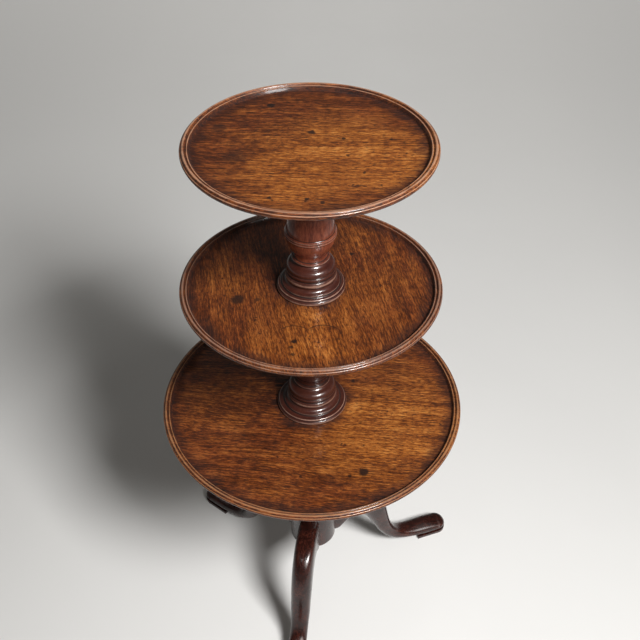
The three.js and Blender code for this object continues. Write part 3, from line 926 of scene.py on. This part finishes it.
# %% [markdown]
# ## The columns
#
# The column comes apart into three turnings. The two upper ones have the same design at
# two sizes: rings that sit on the tray, a lip over a deep cove, a bead, a fillet and a
# bell, a ring at the neck, then a vase with a double fillet round its belly and a tapering
# shaft. Long grain runs up the axis. The wood is darker and redder than the boards, and
# nearly black with old polish round the foot, where no cloth gets into the rings. That
# could be a material of its own, but one that looks at the height has no hard seam. The
# lower column takes the foot's dark tone nearly all over and the upper one hardly: partly
# the wood, and partly painted shade under the middle tray and painted light that keeps the
# upper column bright under the top tray.

# %% Column finish
COLUMN_TONES = (
    (0.0, color(0.070, 0.017, 0.009)),
    (0.35, color(0.155, 0.036, 0.018)),
    (0.65, color(0.245, 0.062, 0.029)),
    (1.0, color(0.34, 0.100, 0.048)),
)
COLUMN_DIRT = color(0.010, 0.005, 0.004)
# The greyish colour of the rubbed ring edges is partly wear and partly a painted highlight, the light
# lines that glints draw round the rings.
COLUMN_WORN_AND_GLINT = color(0.34, 0.20, 0.145)
FOOT_DARK_AND_SHADE = color(0.020, 0.005, 0.004)
FOOT_HEIGHT = 70.5 * MM
FOOT_FADES = 12 * MM            # the dark foot ends softly, so far to each side
COLUMN_PLANK = 7.0


def column_wood(name, foot, darker_and_shaded):
    wood = Finish(name)
    plank = wood.attribute("grain")
    value, place = figure(wood, plank, 1.0, 0.6, 0.7, 1.4, 0.17)
    up = wood.node("ShaderNodeSeparateXYZ", {0: plank}).outputs["X"]
    foot_top = COLUMN_PLANK + foot + FOOT_HEIGHT
    # Painted light and shade, partly: the foot's dark tone also spreads over a whole column by its given
    # share, keeping the lower column dark and the upper one bright.
    dark_foot_and_shade = wood.span(up, foot_top - FOOT_FADES, foot_top + FOOT_FADES, 0.86, 0.0)
    dark_foot_and_shade = wood.larger(dark_foot_and_shade, darker_and_shaded)
    tone = wood.mix(dark_foot_and_shade, wood.ramp(value, COLUMN_TONES), FOOT_DARK_AND_SHADE)
    tone, height = pored(wood, tone, place, 0.3)
    tone, sunk = wear(wood, tone, place, COLUMN_DIRT, COLUMN_WORN_AND_GLINT, 0.6)
    sunk = wood.times(sunk, 0.5)
    return polish(wood, tone, height, place, 0.45, 0.9, 0.10, sunk, gloss=0.15, ripple=0.2)


print("columns:", len(COLUMN_TONES), "tones, dark up to", round(FOOT_HEIGHT / MM, 1), "mm")

# %% Column facts and foot
# The darker share spreads the foot's dark tone over a whole column: partly the wood's own tone, partly
# painted shade on the lower column and painted light keeping the upper one bright.
COLUMNS = {
    "lower_column": {"stands_on": "bottom_tray", "under": "middle_tray_bearer",
                     "turning": 48.3 * MM, "vase": 48 * MM, "socket": True, "darker_and_shaded": 0.85},
    "upper_column": {"stands_on": "middle_tray", "under": "top_tray_bearer",
                     "turning": 45.6 * MM, "vase": 45 * MM, "socket": False, "darker_and_shaded": 0.05},
}
# Out as a share of the radius of the foot's plate, up in millimetres, bulge
PLATE_ROWS = [
    (0.972, 0, 0.0),
    (0.972, 7.0, 0.45),
    (0.955, 7.7, -0.3),
    (0.953, 8.4, 0.0),
    (0.918, 11.6, 0.42),
]
# Out as a share of the turning's radius: lip, cove, bead, fillet, bell and neck ring
FOOT_ROWS = [
    (1.14, 12.8, 0.0),
    (1.14, 15.6, 0.3),
    (1.11, 16.4, 0.2),
    (0.962, 25.0, -0.45),
    (0.985, 25.6, 0.0),
    (0.985, 36.2, 0.26),
    (0.955, 37.2, -0.3),
    (0.955, 39.0, 0.0),
    (0.972, 39.8, 0.0),
    (0.972, 44.4, 0.2),
    (0.940, 45.4, -0.2),
    (0.965, 47.5, 0.0),
    (0.930, 54.2, 0.167),
    (0.811, 58.5, 0.167),
    (0.650, 65.0, -0.25),
    (0.650, 65.6, 0.0),
    (0.720, 66.0, 0.0),
    (0.730, 70.6, 0.5),
    (0.668, 71.8, -0.3),
]


def scaled(rows, width, base, height):
    """Rows written in shares or millimetres, at their real width, up from a base."""
    return [(width * out, base + up * height, bulge) for out, up, bulge in rows]


print("foot:", len(PLATE_ROWS + FOOT_ROWS), "corners")

# %% [markdown]
# ## Vase, band, shaft and socket
#
# The rest of the column is written in shares of its own height and width, so one set of
# rows serves both sizes. A socket bored in the top takes the tenon of the next column, and
# the uppermost ends in a thinner journal for the top tray's bearer.

# %% Vase, band, shaft and socket
TENON = 14 * MM
TENON_LENGTH = 62 * MM
BAND_HEIGHT = 8.7 * MM
VASE_SHARES = [
    (0.664, 0.08, 0.0),
    (0.675, 0.17, -0.05),
    (0.765, 0.35, -0.14),
    (0.895, 0.63, 0.04),
    (0.962, 0.98, 0.1),
]
BAND_ROWS = [
    (0.99, 0.2, 0.0),
    (0.99, 3.6, 0.25),
    (0.965, 4.2, -0.3),
    (0.99, 4.9, 0.0),
    (0.99, 8.2, 0.25),
    (0.918, 9.0, 0.0),
]
SHAFT_SHARES = [
    (0.918, 0.01, 0.0),
    (0.83, 0.22, 0.06),
    (0.63, 0.77, -0.02),
    (0.70, 0.80, -0.2),
    (0.70, 0.86, 0.4),
    (0.625, 0.885, -0.2),
    (0.74, 0.93, -0.3),
    (0.975, 0.955, -0.3),
    (0.975, 0.995, 0.3),
    (0.96, 1.0, 0.0),
]


def socket_rows(top):
    """The bored end of a column: down the wall and in along the bottom."""
    bore = TENON + SEAT_GAP
    bottom = top - TENON_LENGTH - SEAT_GAP
    return [(bore, top, 0.0), (bore, bottom, 0.0), (0.0, bottom, 0.0)]


print("tenons:", TENON / MM, "mm thick,", TENON_LENGTH / MM, "mm long")

# %% Turn the columns
COLUMN_FACETS = 144
for name, facts in COLUMNS.items():
    low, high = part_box(name)
    plate = (high.x - low.x) / 2
    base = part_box(facts["stands_on"])[1].z - DISH_DEPTH + SEAT_GAP
    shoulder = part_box(facts["under"])[0].z - SEAT_GAP
    journal_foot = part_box(facts["stands_on"] + "_bearer")[0].z
    neck = base + FOOT_HEIGHT
    band = neck + facts["vase"]
    waist = band + BAND_HEIGHT
    turn = facts["turning"]
    rows = [
        (0.0, low.z, 0.0),
        (TENON, low.z, 0.0),
        (TENON, journal_foot, 0.0),
        (JOURNAL, journal_foot, 0.0),
        (JOURNAL, base, 0.0),
        *scaled(PLATE_ROWS, plate, base, MM),
        *scaled(FOOT_ROWS, turn, base, MM),
        *scaled(VASE_SHARES, turn, neck, facts["vase"]),
        *scaled(BAND_ROWS, turn, band, MM),
        *scaled(SHAFT_SHARES, turn, waist, shoulder - waist),
    ]
    if facts["socket"]:
        rows += socket_rows(shoulder)
    else:
        rows += [(TOP_JOURNAL, shoulder, 0.0), (TOP_JOURNAL, high.z, 0.0), (0.0, high.z, 0.0)]
    finish = column_wood(name + "_mahogany", base, facts["darker_and_shaded"])
    mesh = turned(name, rows, COLUMN_FACETS, finish)
    mark_grain(mesh, (0, 0, 1), column_axis, COLUMN_PLANK)
    bench(mesh, name + "_turned", "stand", "column_wood", name)

# %% [markdown]
# ## The pedestal
#
# The lowest turning carries everything: a drum that the three legs are let into, and a
# baluster above it. It and the legs are the darkest wood. One finish serves all four, as
# one pot of stain did, and one set of rows in shares of the drum's radius and of the
# height above it gives the section.

# %% Leg and pedestal finish
LEG_TONES = (
    (0.0, color(0.007, 0.002, 0.0015)),
    (0.45, color(0.020, 0.005, 0.0035)),
    (0.75, color(0.038, 0.009, 0.006)),
    (1.0, color(0.065, 0.017, 0.009)),
)


def leg_wood():
    wood = Finish("leg_mahogany")
    value, place = figure(wood, wood.attribute("grain"), 0.9, 0.9, 0.7, 1.2)
    tone, height = pored(wood, wood.ramp(value, LEG_TONES), place, 0.5)
    dirt, worn_and_glint = color(0.008, 0.004, 0.003), color(0.10, 0.035, 0.020)
    tone, sunk = wear(wood, tone, place, dirt, worn_and_glint, 0.4)
    return polish(wood, tone, height, place, 0.25, 0.38, 0.14, gloss=0.28)


leg_mahogany = leg_wood()

# %% Turn the pedestal
PEDESTAL_SHARES = [
    (1.0, 0.0, 0.0),
    (0.955, 0.012, 0.2),
    (0.83, 0.024, -0.1),
    (0.86, 0.062, -0.5),
    (0.9, 0.066, 0.0),
    (0.86, 0.094, 0.5),
    (0.75, 0.1, 0.0),
    (0.93, 0.23, -0.08),
    (0.95, 0.32, 0.1),
    (0.87, 0.43, 0.06),
    (0.6, 0.86, -0.02),
    (0.68, 0.875, -0.2),
    (0.68, 0.91, 0.4),
    (0.61, 0.92, -0.2),
    (0.7, 0.95, -0.1),
    (0.96, 0.975, -0.3),
    (0.99, 0.98, 0.0),
    (0.99, 0.998, 0.2),
    (0.97, 1.0, 0.0),
]
DRUM_HEIGHT = 104 * MM
DRUM_EASE = 1.5 * MM
PEDESTAL_PLANK = 9.0
low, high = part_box("pedestal_column")
drum = (high.x - low.x) / 2
drum_top = low.z + DRUM_HEIGHT
rows = [
    (0.0, low.z, 0.0),
    (drum - DRUM_EASE, low.z, 0.0),
    (drum, low.z + DRUM_EASE, 0.3),
    *scaled(PEDESTAL_SHARES, drum, drum_top, high.z - drum_top),
    *socket_rows(high.z),
]
mesh = turned("pedestal_column", rows, COLUMN_FACETS, leg_mahogany)
mark_grain(mesh, (0, 0, 1), column_axis, PEDESTAL_PLANK)
bench(mesh, "pedestal_column_turned", "stand", "column_wood", "pedestal_column")

# %% [markdown]
# ## The legs
#
# A cabriole leg is sawn from a thick plank to an S, then rounded over with spokeshave and
# rasp, so its section changes all the way: nearly square at the root, broad over the
# knee, slim at the ankle and spread at the slipper foot. It is lofted here: a few stations
# give the upper line, the lower line and the width, a smooth curve runs through them, and
# a rounded section is strung at close steps. Subdividing a boxed cage would be quicker,
# but wouldn't keep these lines.

# %% Leg stations
LEG_TOP = 249 * MM
DRUM_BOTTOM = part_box("pedestal_column")[0].z
KNEE_WIDTH = 46 * MM
ANKLE_WIDTH = 39 * MM
FOOT_WIDTH = 48 * MM
FOOT_TOP = 35 * MM
PAD_THICKNESS = 8 * MM
PAD_LENGTH = 81 * MM
FOOT_REACH = column_axis.y - cad_low.y
# Upper line out and up, lower line out and up, width, squareness of the section
KNEE = [
    (0.112, 0.980, 0.112, 1.000, 1.000, 9.0),
    (0.151, 0.986, 0.160, 1.000, 1.000, 8.5),
    (0.190, 0.994, 0.182, 1.043, 1.000, 7.5),
    (0.235, 1.000, 0.207, 1.101, 1.000, 6.5),
    (0.283, 0.998, 0.238, 1.156, 1.000, 5.5),
    (0.331, 0.988, 0.272, 1.176, 1.000, 4.4),
    (0.380, 0.964, 0.308, 1.146, 1.000, 3.5),
    (0.426, 0.923, 0.339, 1.075, 1.000, 2.9),
    (0.466, 0.856, 0.370, 0.972, 1.000, 2.6),
    (0.496, 0.764, 0.398, 0.848, 0.990, 2.5),
    (0.517, 0.667, 0.423, 0.725, 0.970, 2.4),
    (0.531, 0.567, 0.443, 0.628, 0.945, 2.4),
]
ANKLE = [
    (0.544, 0.472, 0.462, 0.531, 1.095, 2.5),
    (0.560, 0.382, 0.482, 0.447, 1.055, 2.4),
    (0.577, 0.315, 0.504, 0.363, 1.020, 2.4),
    (0.597, 0.259, 0.529, 0.291, 1.000, 2.4),
    (0.624, 0.213, 0.563, 0.217, 1.000, 2.4),
    (0.659, 0.181, 0.602, 0.159, 1.030, 2.4),
    (0.704, 0.160, 0.653, 0.113, 1.075, 2.4),
]
FOOT = [
    (0.756, 1.050, 0.711, 1.500, 0.910, 2.4),
    (0.807, 1.012, 0.770, 1.100, 0.950, 2.5),
    (0.854, 0.985, 0.826, 0.950, 0.970, 2.6),
    (0.896, 0.930, 0.880, 0.950, 0.975, 2.6),
]
print("leg:", len(KNEE + ANKLE + FOOT), "stations, reach", round(FOOT_REACH, 4))

# %% Leg lines
TOE_STEPS = 14
TOE_SQUARE = 2.6
STEPS_PER_STATION = 5


def leg_lines():
    """Stations as rows of upper out, up, lower out, up, half width and squareness, in metres."""
    rows = []
    for table, top, under, width in (
        (KNEE, LEG_TOP, DRUM_BOTTOM, KNEE_WIDTH),
        (ANKLE, LEG_TOP, DRUM_BOTTOM, ANKLE_WIDTH),
        (FOOT, FOOT_TOP, PAD_THICKNESS, FOOT_WIDTH),
    ):
        for over_out, over_up, below_out, below_up, wide, square in table:
            rows.append((
                over_out * FOOT_REACH, over_up * top, below_out * FOOT_REACH, below_up * under,
                wide * width / 2, square,
            ))
    return np.array(rows)


def smooth_through(rows, steps):
    """A Catmull-Rom curve through the rows."""
    padded = np.vstack([2 * rows[0] - rows[1], rows, 2 * rows[-1] - rows[-2]])
    made = []
    for i in range(1, len(padded) - 2):
        before, start, end, after = padded[i - 1 : i + 3]
        for t in np.arange(steps) / steps:
            made.append(0.5 * (
                2 * start + (end - before) * t
                + (2 * before - 5 * start + 4 * end - after) * t**2
                + (3 * start - before - 3 * end + after) * t**3
            ))
    return np.array([*made, rows[-1]])


def toe_lines():
    """The slipper's round toe, which closes on itself."""
    radius = 0.975 * FOOT_WIDTH / 2
    centre = FOOT_REACH - FOOT_WIDTH / 2
    under = 0.95 * PAD_THICKNESS
    rows = []
    for i in range(TOE_STEPS):
        turn = 0.995 * math.pi / 2 * i / (TOE_STEPS - 1)
        out = centre + radius * math.sin(turn)
        top = under + (0.85 * FOOT_TOP - under) * math.sqrt(math.cos(turn))
        rows.append((out, top, out, under, radius * math.cos(turn), TOE_SQUARE))
    return np.array(rows)


print("leg lines:", len(smooth_through(leg_lines(), STEPS_PER_STATION)), "sections and a toe")

# %% Leg mesh
SECTION_POINTS = 48


def leg_mesh(wood):
    lines = smooth_through(np.vstack([leg_lines(), toe_lines()[:2]]), STEPS_PER_STATION)
    lines = np.vstack([lines[:-STEPS_PER_STATION], toe_lines()])
    spots, faces = [], []
    for over_out, over_up, below_out, below_up, half_width, square in lines:
        for i in range(SECTION_POINTS):
            turn = 2 * math.pi * (i + 0.5) / SECTION_POINTS
            up, side = math.cos(turn), math.sin(turn)
            up = math.copysign(abs(up) ** (2 / square), up)
            side = math.copysign(abs(side) ** (2 / square), side)
            share = (1 + up) / 2
            out = below_out + (over_out - below_out) * share
            spots.append((out, side * half_width, below_up + (over_up - below_up) * share))
    last = (len(lines) - 1) * SECTION_POINTS
    for here in range(0, last, SECTION_POINTS):
        beyond = here + SECTION_POINTS
        for i in range(SECTION_POINTS):
            step = (i + 1) % SECTION_POINTS
            faces.append((here + i, beyond + i, beyond + step, here + step))
    faces.append(tuple(range(SECTION_POINTS)))
    faces.append(tuple(range(last + SECTION_POINTS - 1, last - 1, -1)))
    mesh = bpy.data.meshes.new("leg")
    mesh.from_pydata(spots, [], faces)
    mesh.materials.append(wood)
    mesh.shade_smooth()
    return outward_faces(mesh)


print("leg mesh:", SECTION_POINTS, "points round")

# %% [markdown]
# ## The sole pads
#
# Under each slipper is a thin pad of the same wood, as wide as the foot, with a square heel
# and a round toe. It takes the wear of the floor. It could be lofted with the leg, but the
# carver sawed it flat and glued it on, so it is a flat outline with some thickness.

# %% Pad mesh
TOE_FACETS = 32
PAD_EASE = 0.8 * MM
LEVEL = 0.1 * MM                # an edge whose ends differ by less than this is level


def pad_mesh(wood):
    """The sole pad under the slipper: square heel, round toe, edges eased."""
    round_toe = FOOT_WIDTH / 2
    heel = FOOT[1][4] * round_toe
    outline = [(FOOT_REACH - PAD_LENGTH, -heel)]
    for i in range(TOE_FACETS + 1):
        turn = math.pi * (i / TOE_FACETS - 0.5)
        out = FOOT_REACH - round_toe + round_toe * math.cos(turn)
        outline.append((out, round_toe * math.sin(turn)))
    outline.append((FOOT_REACH - PAD_LENGTH, heel))
    shape = bmesh.new()
    lower = [shape.verts.new((x, y, 0)) for x, y in outline]
    upper = [shape.verts.new((x, y, PAD_THICKNESS)) for x, y in outline]
    shape.faces.new(reversed(lower))
    shape.faces.new(upper)
    for i in range(len(outline)):
        step = (i + 1) % len(outline)
        shape.faces.new((lower[i], lower[step], upper[step], upper[i]))
    rims = [e for e in shape.edges if abs(e.verts[0].co.z - e.verts[1].co.z) < LEVEL]
    bmesh.ops.bevel(shape, geom=rims, offset=PAD_EASE, segments=3, affect="EDGES", profile=0.5)
    bmesh.ops.recalc_face_normals(shape, faces=shape.faces)
    mesh = bpy.data.meshes.new("pad")
    shape.to_mesh(mesh)
    shape.free()
    mesh.materials.append(wood)
    mesh.shade_smooth()
    mesh.set_sharp_from_angle(angle=math.radians(40))
    return mesh


print("pad:", PAD_LENGTH / MM, "mm long,", PAD_THICKNESS / MM, "mm thick")

# %% [markdown]
# ## Placing the legs
#
# The three legs stand at equal thirds, one of them to the front, so one leg is made and
# turned round the axis. Each is sawn with the grain down its slope, or it would snap at the
# ankle, and each from its own part of the plank, so no two show the same figure. Linked
# copies would save memory, but would share one figure.

# %% Leg placing
LEG_WAYS = {"front": -90, "right": 30, "left": 150}
GRAIN_SLOPE = -0.62
LEG_PLANK = 11.0
for name, way in LEG_WAYS.items():
    placing = Matrix.Translation(column_axis) @ Matrix.Rotation(math.radians(way), 4, "Z")
    leg, pad = leg_mesh(leg_mahogany), pad_mesh(leg_mahogany)
    for mesh in (leg, pad):
        mark_grain(mesh, (1, 0, GRAIN_SLOPE), (0, 0, 0), LEG_PLANK + way / 90)
        for label in ("hollow", "rubbed_and_glint"):
            float_attribute(mesh, label, np.zeros(len(mesh.vertices)))
        mesh.transform(placing)
    bench(leg, f"leg_{name}_carved", "stand", "leg_wood", f"leg_{name}")
    bench(pad, f"leg_{name}_pad", "stand", "leg_wood", f"leg_{name}")

# %% [markdown]
# ## The iron
#
# A wrought brace of three arms ties the legs to the drum from below, and countersunk
# screws hold it and the bearers. Neither shows from above, but a buyer turns such a piece
# over. Both are blackened metal, brighter where the scale is rubbed and brown where it
# rusts. A plain grey metal would be quicker, and would look new.

# %% Iron finishes
SCALE_DEPTH = 0.3 * MM


def iron(name, dark, light, metal, roughness):
    made = Finish(name)
    place = made.node("ShaderNodeTexCoord").outputs["Object"]
    scale = made.noise(place, (90.0, 90.0, 90.0), 4.0, 0.65)
    rust = made.noise(place, (40.0, 40.0, 40.0), 5.0, 0.7)
    tone = made.mix(made.span(scale, 0.35, 0.7), dark, light)
    tone = made.mix(made.span(rust, 0.5, 0.68, 0.0, 0.6), tone, color(0.09, 0.035, 0.017))
    return made.set(
        base_color=tone,
        metallic=metal,
        roughness=made.span(scale, 0.3, 0.7, roughness + 0.12, roughness - 0.08),
        normal=made.bump(scale, SCALE_DEPTH),
    )


brace_iron = iron("wrought_iron", color(0.02, 0.018, 0.017), color(0.06, 0.052, 0.046), 0.7, 0.55)
screw_steel = iron("screw_steel", color(0.05, 0.045, 0.04), color(0.2, 0.18, 0.16), 0.9, 0.42)

# %% [markdown]
# ## The brace
#
# The smith cut the brace from plate, so the frame's flat shape is already the right one.
# It only needs its hard edges eased. A Bevel modifier could do it. Here the flat faces are
# first joined, so that the bevel runs along true edges and not across their triangles.

# %% Brace
BRACE_EASE = 0.4 * MM
FLAT = math.radians(2)
SHARP = math.radians(50)
brace_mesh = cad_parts["leg_brace"].data.copy()
shape = bmesh.new()
shape.from_mesh(brace_mesh)
bmesh.ops.remove_doubles(shape, verts=shape.verts, dist=TOUCH)
bmesh.ops.dissolve_limit(shape, angle_limit=FLAT, verts=shape.verts, edges=shape.edges)
edges = [e for e in shape.edges if len(e.link_faces) == 2 and e.calc_face_angle() > SHARP]
bmesh.ops.bevel(shape, geom=edges, offset=BRACE_EASE, segments=2, affect="EDGES", profile=0.6)
shape.to_mesh(brace_mesh)
shape.free()
brace_mesh.materials.clear()
brace_mesh.materials.append(brace_iron)
bench(brace_mesh, "leg_brace_wrought", "stand", "brace_iron", "leg_brace")

# %% [markdown]
# ## The screws
#
# Nineteen screws are alike but for their length and the turn of the slot, which stopped
# where it stopped. So a tree makes one, a cone with a slot cut across it and a tapering
# shank, and sets it on each place at a random turn. Copies placed by hand would do for so
# few, but here a seed keeps the turns the same each time.

# %% Screw tree
SCREW_HEAD = 4.4 * MM
SCREW_HEAD_HEIGHT = 2.6 * MM
SCREW_SHANK = 2.2 * MM
SCREW_SLOT = 1 * MM
SHANK_FOOT = 0.9 * SCREW_HEAD_HEIGHT
SCREW_SEED = 5


def screw_tree():
    """Sets a slotted countersunk screw on each point, its head down and its slot at random."""
    wires, given = new_tree("Screws", "Screws", {
        "Places": "Geometry",
        "Length": "Float",
        "Seed": "Int",
        "Steel": "Material",
    })
    head = wires.node("GeometryNodeMeshCone", {
        "Vertices": 40, "Radius Top": SCREW_SHANK, "Radius Bottom": SCREW_HEAD,
        "Depth": SCREW_HEAD_HEIGHT,
    })
    slot = wires.node("GeometryNodeMeshCube", {"Size": (3 * SCREW_HEAD, SCREW_SLOT, 2 * SCREW_SLOT)})
    parts = {"Mesh 1": head, "Mesh 2": slot}
    slotted = wires.node("GeometryNodeMeshBoolean", parts, operation="DIFFERENCE")
    shank = wires.node("GeometryNodeMeshCone", {
        "Vertices": 24, "Radius Top": 0.35 * SCREW_SHANK, "Radius Bottom": SCREW_SHANK,
        "Depth": wires.math("SUBTRACT", given["Length"], SHANK_FOOT),
    })
    lift = {"Geometry": shank, "Translation": (0, 0, SHANK_FOOT)}
    raised = wires.node("GeometryNodeTransform", lift)
    both = wires.node("GeometryNodeJoinGeometry", {0: slotted})
    wires.feed(both.inputs[0], raised)
    chance = {3: math.tau, "Seed": given["Seed"]}
    turn = wires.node("FunctionNodeRandomValue", chance, data_type="FLOAT").outputs[1]
    about = wires.node("ShaderNodeCombineXYZ", {"Z": turn})
    placing = {"Points": given["Places"], "Instance": both, "Rotation": about}
    placed = wires.node("GeometryNodeInstanceOnPoints", placing)
    return end_tree(wires, placed, given["Steel"])


screws = screw_tree()

# %% Set the screws
SCREW_SETS = {tier + "_tray_screws": tier + "_tier" for tier in TRAYS}
SCREW_SETS["brace_screws"] = "stand"
for name, body in SCREW_SETS.items():
    nodes = [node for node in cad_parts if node.startswith(name[:-1] + "_")]
    spots = [(*middle(node).xy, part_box(node)[0].z) for node in nodes]
    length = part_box(nodes[0])[1].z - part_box(nodes[0])[0].z
    points = bpy.data.meshes.new(name + "_points")
    points.from_pydata(spots, [], [])
    holder = bpy.data.objects.new(name + "_points", points)
    scene.collection.objects.link(holder)
    inputs = {"Length": length, "Seed": SCREW_SEED, "Steel": screw_steel}
    mesh = baked(holder, screws, inputs)
    bpy.data.objects.remove(holder)
    bench(outward_faces(mesh), name, body, "screw_steel", *nodes)

# %% [markdown]
# ## Sizes
#
# Last, the box round everything visible is printed.

# %% Print the visual box
low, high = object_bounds()
print("visual box", [round(x, 4) for x in low], [round(x, 4) for x in high])
